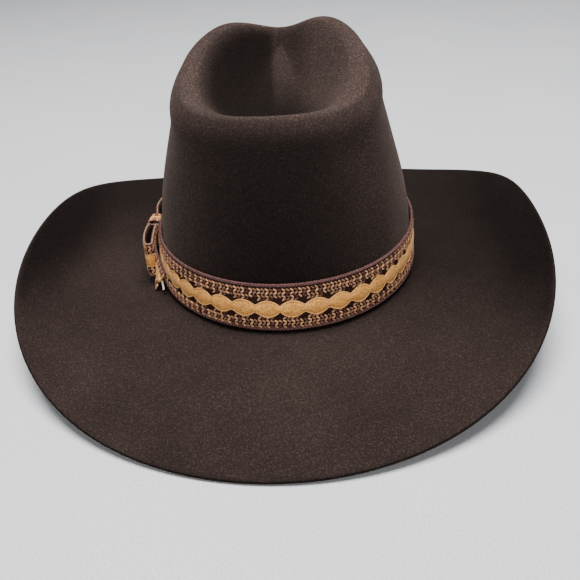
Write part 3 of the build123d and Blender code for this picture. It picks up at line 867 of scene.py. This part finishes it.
# %% Pattern sizes
OVAL_MIDDLE_V = 14.3
OVAL_HALF, NECK_HALF, OVAL_POINTEDNESS = 5.1, 1.5, 0.78
NET_LOW, NET_HIGH = 1.4, 28.4
CORD_RADIUS, CORD_TWIST = 1.05, 4.4
OUTLINE_RADIUS, OUTLINE_TWIST, OUTLINE_RISE = 0.42, 2.4, 1.6
STITCH_LENGTH, STITCH_THICKNESS = 3.0, 1.35
LOWER_CORD_V, UPPER_CORD_V = 1.1, 28.9
# height of each row, its rise over the net, its lean in degrees, and its reach from the middle of an oval
LOWER_ROWS = [(2.6, 1.4, -38, 4), (4.5, 1.6, 38, 4), (6.4, 1.5, -38, 4), (8.3, 1.2, 38, 2)]
UPPER_ROWS = [(20.4, 1.2, 38, 2), (22.4, 1.5, -38, 4), (24.4, 1.6, 38, 4), (26.4, 1.4, -38, 4)]


def oval_half(u, pitches):
    """Half width of the gold strip: wide ovals with pointed necks between them."""
    wave = np.abs(np.cos(np.pi * (u * pitches - 0.5)))
    return NECK_HALF + (OVAL_HALF - NECK_HALF) * wave ** OVAL_POINTEDNESS


def make_trim(prefix, place, length, closed, pitches, cord_scale=1.0, cord=CORD):
    """All layers of one length of trim, as a dict of objects; length in millimetres."""
    steps = pitches * 16
    sides = [lambda u, side=side: OVAL_MIDDLE_V + side * oval_half(u, pitches) for side in (-1, 1)]
    layers = {"net": make_strip(prefix + "_net", place, steps, closed, always(NET_LOW), always(NET_HIGH),
                                pillow(0.35, 0.35), 0.05, NET),
              "ovals": make_strip(prefix + "_ovals", place, steps, closed, *sides,
                                  pillow(1.2, 1.0), 0.5, OVALS)}
    outlines = []
    for side in sides:
        def edge_place(u, v, d, side=side):
            return place(u, side(u) + v, d)
        outlines.append(twisted("outline", edge_place, length * 1.1, closed, [(0.0, OUTLINE_RISE)],
                                OUTLINE_RADIUS, OUTLINE_TWIST, OUTLINE))
    layers["outline"] = joined(prefix + "_outline", outlines)
    cord_rows = [(LOWER_CORD_V, 1.2), (UPPER_CORD_V, 1.2)]
    layers["cords"] = twisted(prefix + "_cords", place, length, closed, cord_rows, CORD_RADIUS * cord_scale,
                              CORD_TWIST, cord)
    layers["lattice"] = stitched(prefix + "_lattice", place, closed, pitches * STITCHES_PER_PITCH,
                                 LOWER_ROWS + UPPER_ROWS, STITCH_LENGTH, STITCH_THICKNESS, LATTICE)
    return layers


def declare_trim(layers, length):
    """The net is the cloth of the trim; the other layers are worked on it."""
    others = [made.name for layer, made in layers.items() if layer != "net"]
    length * MM


band = make_trim("band", ring_place, RING_LENGTH, True, PITCHES)
for layer, slot in (("net", "lattice"), ("ovals", "scallop"), ("outline", "scallop"), ("cords", "edge_cord"),
                    ("lattice", "lattice")):
    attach(band[layer], "hatband")
declare_trim(band, RING_LENGTH)
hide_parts("band_lower_cord", "band_upper_cord")
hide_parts("band_lower_mesh", "band_upper_mesh")
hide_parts("band_scallop_strip")
print("band faces", {k: len(o.data.polygons) for k, o in band.items()})

# %% [markdown]
# ## The bow
# The bow stands on the wearer's left. Each loop is one strap that leaves the knot, turns round at its end and
# comes back; each tail is a single strap behind it, turned a little so that its face shows. A short pale
# thread end has worked loose from the cut end of each tail.

# %% Straps of the bow
BOW_MIDDLE = BREAK_Z + 17.5
BOW_SCALE = 25.0 / TRIM_HEIGHT
STRAP_PITCH = 14.5


def bow_points(rows, side):
    """Rows of (x, y, height over the bow's middle) with y mirrored for the front half."""
    return [(x, side * y, BOW_MIDDLE + h) for x, y, h in rows]


LOOP_LINE = [(-91.9, 6.0, 0), (-93.2, 14, 0), (-93.4, 24, -0.3), (-92.2, 34, -0.9), (-90.0, 40.4, -1.4),
             (-88.5, 41.2, -1.4), (-88.0, 39.4, -1.4), (-88.9, 33, -0.9), (-90.3, 20, -0.3), (-90.7, 6.0, 0)]
TAIL_LINE = {-1: [(-89.5, 6, 0), (-87.8, 22, -1.5), (-84.9, 38, -5.0), (-79.6, 54, -11.0)],
             1: [(-89.5, 6, 0), (-87.8, 22, -1.0), (-84.6, 38, -3.2), (-79.8, 53, -6.0)]}
TAIL_ACROSS = {-1: [(0, 0, 1), (0.02, 0, 1), (0.1, -0.05, 1), (0.5, -0.35, 0.8)],
               1: [(0, 0, 1), (0.02, 0, 1), (0.06, 0.03, 1), (0.2, 0.12, 0.96)]}


def make_strap(name, centres, acrosses, width, held, cord_scale, cord, **shape):
    """Trim along a strap of the bow; its width in millimetres is not used."""
    place, length = strap_placer(centres, acrosses, **shape)
    strap = make_trim(name, place, length, False, max(2, round(length / STRAP_PITCH)), cord_scale, cord)
    declare_trim(strap, length)
    return strap, length


def make_fray(name, centres):
    """Loose thread that goes on from the last stretch of a tail."""
    last, before = np.array(centres[-1]), np.array(centres[-2])
    line = [last + (last - before) * reach for reach in (-0.1, 0.15, 0.4)]
    place, length = strap_placer(line, [(0, 0, 1)] * 3)
    return twisted(name, place, length, False, [(TRIM_MIDDLE, 0.0)], 0.7, 3.0, FRAY)


def make_bow_half(side, name):
    centres = bow_points(LOOP_LINE, side)
    upright = [(0, 0, 1)] * len(centres)
    # the loop's cords use the lighter cord, which is painted light
    loop, _ = make_strap("loop_" + name, centres, upright, 22.0, "folded", 0.62, LIGHT_CORD,
                         scale=BOW_SCALE, pinch=0.62, pinch_share=0.14, face=-side, both_ends=True)
    centres = bow_points(TAIL_LINE[side], side)
    tail, length = make_strap("tail_" + name, centres, TAIL_ACROSS[side], 17.5, "hung", 0.7, CORD,
                              scale=0.66, pinch=0.78, face=-side)
    tail["fray"] = make_fray("tail_" + name + "_fray", centres)
    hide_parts("bow_loop_" + name)
    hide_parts("bow_tail_" + name)
    for made in [*loop.values(), *tail.values()]:
        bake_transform(made)
    return length


for side, name in ((-1, "rear"), (1, "front")):
    print(name, "tail length", round(make_bow_half(side, name), 1), "mm")

# %% The knot
KNOT_X, KNOT_WIDTH, KNOT_HALF_DEPTH, KNOT_HALF_HEIGHT = -93.0, 11.0, 3.4, 8.6
KNOT_SQUARENESS = 0.6


def circle(points):
    return [(math.cos(a), math.sin(a)) for a in np.linspace(0, 2 * math.pi, points)]


def make_knot():
    """The trim wraps round the pinched middle of the bow, along a square with round corners."""
    square = [[math.copysign(abs(c) ** KNOT_SQUARENESS, c) for c in pair] for pair in circle(17)]
    line = [(KNOT_X + KNOT_HALF_DEPTH * c, 0, BOW_MIDDLE + KNOT_HALF_HEIGHT * s) for c, s in square]
    place, length = strap_placer(line, [(0, 1, 0)] * len(line), KNOT_WIDTH / TRIM_HEIGHT, closed=True,
                                 face=-1.0)
    print("knot length", round(length, 1), "mm")
    knot = make_trim("knot", place, length, True, 4, 0.5)
    declare_trim(knot, length)
    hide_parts("bow_knot")
    for made in knot.values():
        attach(made, "hatband")
    return knot


knot = make_knot()
print("knot pieces", sorted(o.name for o in knot.values()))

# %% [markdown]
# ## Inside the hat
# Inside the crown a leather sweatband stands on a reed, sewn to the felt through a cloth tape. A satin
# lining hangs behind it, gathered a little at its lower edge, and closes at the top with a domed tip and a
# twisted piping. Both follow the same wall rule, moved inwards by the felt and the layers between.

# %% Inside sizes and finishes
INSIDE_FELT = FELT + 0.9
LINING, LINING_BOTTOM, LINING_TOP = 0.5, 14.0, 84.0
LINING_FOLDS, PUCKERS = 46, 40
TAPE, TAPE_TOP, REED = 0.6, 9.0, 1.6
SWEATBAND, SWEATBAND_TOP, SWEATBAND_BOTTOM = 1.2, 54.0, -2.4
SWEATBAND_INWARD = INSIDE_FELT + TAPE + 0.3
SWEATBAND_INSIDE = SWEATBAND_INWARD + SWEATBAND
STITCH_HEIGHT, STITCHES = 4.0, 96
SEAM_LOW, SEAM_LENGTH, SEAM_HALF_WIDTH = 15.0, 37.0, 2.4


def inside_placer(inward):
    """Placer whose v is the height over the break, and whose d points into the head opening."""
    def place(u, v, d):
        angle = np.interp(np.asarray(u, float) % 1.0, RING_SHARES, RING_ANGLES)
        return wall_point(angle, v, inward + d)
    return place


def leather_finish():
    """Brown leather with small grain cells and slow clouds where it wore with use."""
    finish = Finish("sweatband_leather", Roughness=0.5, Specular_IOR_Level=0.45)
    cells = {"Vector": finish.place, "Scale": 620.0}
    grain = finish.number("ShaderNodeTexVoronoi", cells, feature="F1")
    fine = finish.noise(1600, 2.0)
    cloud = finish.noise(30, 3.0)
    brown = finish.mix(finish.stretch(cloud, 0.3, 0.7), rgb(98, 62, 38), rgb(124, 82, 52))
    finish.colour(finish.mix(finish.stretch(grain, 0.25, 0.75, 0.0, 0.5), brown, rgb(66, 40, 26)))
    finish.roughness(finish.stretch(cloud, 0.3, 0.7, 0.42, 0.6))
    finish.bump(grain * 0.7 + fine * 0.3, 0.12, 0.8)
    return finish.material


def satin_finish(name, dark, light):
    finish = Finish(name, Roughness=0.38, Sheen_Weight=0.25, Anisotropic=0.5)
    weave = finish.noise(2200, 2.0)
    slub = finish.noise(420, 3.0)
    finish.colour(finish.mix(finish.stretch(slub * 0.5 + weave * 0.5, 0.35, 0.65), dark, light))
    finish.roughness(finish.stretch(slub, 0.3, 0.7, 0.34, 0.46))
    finish.bump(weave * 0.7 + slub * 0.3, 0.05, 0.5)
    return finish.material


LEATHER = leather_finish()
SATIN = satin_finish("lining_satin", rgb(92, 72, 60), rgb(124, 100, 84))
RIBBON = satin_finish("ribbon_satin", rgb(52, 38, 34), rgb(78, 58, 52))
TAPE_CLOTH = thread_finish("reed_tape_cloth", rgb(60, 46, 40), rgb(92, 74, 64))
THREAD = thread_finish("sewing_thread", rgb(150, 120, 88), rgb(196, 168, 130), rough=0.6)
print("inside finishes", [m.name for m in (LEATHER, SATIN, RIBBON, TAPE_CLOTH, THREAD)])

# %% Sweatband, reed and tape
def hat_piece(made, node):
    """Let a piece stand for a node of the solid hat, and move with it."""
    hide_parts(node)
    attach(made, "hat")
    return made


def rounded_edges(rise):
    """Profile with edges that turn away from the face."""
    return lambda s, u: rise * (1 - max(abs(s) - 0.8, 0.0) ** 2 * 12) + 0 * u


def wavy_top(u):
    """Upper edge of leather that wore with use and dried."""
    return SWEATBAND_TOP - 0.5 + 0.35 * np.sin(2 * np.pi * 5 * u + 1) * np.sin(2 * np.pi * 3 * u)


leather_place = inside_placer(SWEATBAND_INWARD)
sweatband = make_strip("sweatband_leather", leather_place, 300, True, always(SWEATBAND_BOTTOM), wavy_top,
                       rounded_edges(SWEATBAND), 0.05, LEATHER, across=27)
hat_piece(sweatband, "sweatband")
tape_place = inside_placer(INSIDE_FELT)
tape_bottom = SWEATBAND_BOTTOM + REED + 0.3
tape = make_strip("reed_tape_ribbon", tape_place, 240, True, always(tape_bottom), always(TAPE_TOP),
                  rounded_edges(TAPE), 0.05, TAPE_CLOTH)
hat_piece(tape, "reed_tape")
reed_place = inside_placer(SWEATBAND_INWARD - 0.3 - REED / 2)
reed_rows = [(SWEATBAND_BOTTOM + REED / 2, 0.0)]
reed = twisted("reed_cord", reed_place, 560, True, reed_rows, REED / 2, 3.0, TAPE_CLOTH)
hat_piece(reed, "sweatband_reed")
print("sweatband faces", len(sweatband.data.polygons), "reed faces", len(reed.data.polygons))

# %% Stitches, seam and little bow
sewn_place = inside_placer(SWEATBAND_INSIDE)
sewn_rows = [(STITCH_HEIGHT, 0.25, 4, 9)]
stitches = stitched("sweatband_sewing", sewn_place, True, STITCHES, sewn_rows, 3.2, 0.55, THREAD)
hat_piece(stitches, "sweatband_stitches")


def seam_placer(u, v, d):
    """Placer up the join at the back: u runs up the leather, v across it."""
    angle = BACK + (v - TRIM_MIDDLE) / (HEAD_WIDTH / 2)
    return wall_point(angle, SEAM_LOW + SEAM_LENGTH * np.asarray(u, float), SWEATBAND_INSIDE + d)


seam_edges = [always(TRIM_MIDDLE + side * SEAM_HALF_WIDTH) for side in (-1, 1)]
seam = make_strip("sweatband_join", seam_placer, 60, False, *seam_edges, pillow(0.3, 0.25), 0.06, LEATHER)
hat_piece(seam, "sweatband_seam")
zigzag_rows = [(TRIM_MIDDLE + side, 0.55, -50 * side, 9) for side in (-1, 1)]
zigzag = stitched("sweatband_join_sewing", seam_placer, False, 22, zigzag_rows, 2.4, 0.4, THREAD)
hat_piece(zigzag, "sweatband_seam")


LITTLE_LOOP = [(0, 0, 0), (4, 0.6, 0.2), (9.6, 0.8, 0.3), (10.6, 0.4, 0.2), (9.4, 0.1, 0), (4, 0.0, 0),
               (0, 0, 0)]


def make_little_bow():
    """Two ribbon loops and a knot that cover the join."""
    origin = wall_point(np.array([BACK]), 9.7, SWEATBAND_INSIDE + 2.0)[0]
    parts = []
    for side in (-1, 1):
        points = [(origin[0] + side * x, origin[1] + y + 0.3, origin[2] + z) for x, y, z in LITTLE_LOOP]
        place, _ = strap_placer(points, [(0, 0, 1)] * len(points), 6.4 / TRIM_HEIGHT, 0.4, 0.5, face=side)
        edges = always(0.8), always(29.0)
        parts.append(make_strip("wing", place, 60, False, *edges, flat(0.12), -0.12, RIBBON))
    line = [(origin[0], origin[1] + 0.8 + c, origin[2] + 2 * s) for c, s in circle(13)]
    place, _ = strap_placer(line, [(1, 0, 0)] * len(line), 2.6 / TRIM_HEIGHT, closed=True)
    edges = always(1.0), always(28.8)
    parts.append(make_strip("tie", place, 40, True, *edges, pillow(0.1, 0.2), -0.1, RIBBON))
    return joined("sweatband_ribbon_bow", parts)


little_bow = hat_piece(make_little_bow(), "sweatband_bow")
print("little bow faces", len(little_bow.data.polygons))

# %% Lining
def two_skins(name, skin, columns, rows, lifts, merge):
    """Closed cloth from skin(share of the way, lift), taken there and back at two lifts."""
    shares = np.linspace(0, 1, rows)
    way = [(share, lifts[0]) for share in shares] + [(share, lifts[1]) for share in shares[::-1]]
    grid = np.stack([skin(share, lift) for share, lift in way])
    return mesh_object(name, grid, grid_faces(len(grid), columns, wrap_rows=True), SATIN, merge=merge)


def make_lining_side():
    """Satin wall with soft gathers that open towards its lower edge."""
    columns = 480
    u = np.arange(columns) / columns
    angle = np.interp(u, RING_SHARES, RING_ANGLES)
    folds = np.sin(2 * np.pi * LINING_FOLDS * u + 1.5 * np.sin(2 * np.pi * 5 * u))
    folds = folds * (0.7 + 0.3 * np.sin(2 * np.pi * 7 * u))

    def skin(share, offset):
        height = LINING_BOTTOM + (LINING_TOP - LINING_BOTTOM) * share
        depth = 0.42 * (0.25 + 0.75 * (1 - share) ** 0.7)
        return wall_point(angle, height, INSIDE_FELT + 0.1 - depth * (1 + folds) * 0.9 + offset)

    return two_skins("lining_wall", skin, columns, 29, (0.0, 0.3), 0.0001)


def make_lining_tip():
    """Domed oval of satin from its edge to its middle line, puckered round the edge."""
    columns = 240
    angle = np.interp(np.arange(columns) / columns, RING_SHARES, RING_ANGLES)
    rim_x, rim_y, rim_z = wall_point(angle, LINING_TOP + 0.3, INSIDE_FELT + 2.1).T
    line_y = middle_share(angle) * HEAD_LENGTH / 5

    def skin(inwards, lift):
        share = 1.0 - inwards
        pucker = 0.3 * np.sin(PUCKERS * angle) * max(share - 0.72, 0.0) * 3.5 * (share < 1)
        z = rim_z + lift + 3.0 * (1 - share ** 2) + pucker
        return np.stack([rim_x * share, line_y + (rim_y - line_y) * share, z], -1)

    return two_skins("lining_tip_satin", skin, columns, 26, (LINING, 0.05), 0.01)


lining_side = hat_piece(make_lining_side(), "lining_side")
lining_tip = hat_piece(make_lining_tip(), "lining_tip")
tip_area = sum(face.area for face in lining_tip.data.polygons) / 2
piping_place = inside_placer(INSIDE_FELT + 0.9)
piping_rows = [(LINING_TOP + 1.2, 0.0)]
piping = twisted("lining_piping_cord", piping_place, 500, True, piping_rows, 0.9, 3.2, RIBBON)
hat_piece(piping, "lining_piping")
print("lining tip area", round(tip_area, 4), "m2")
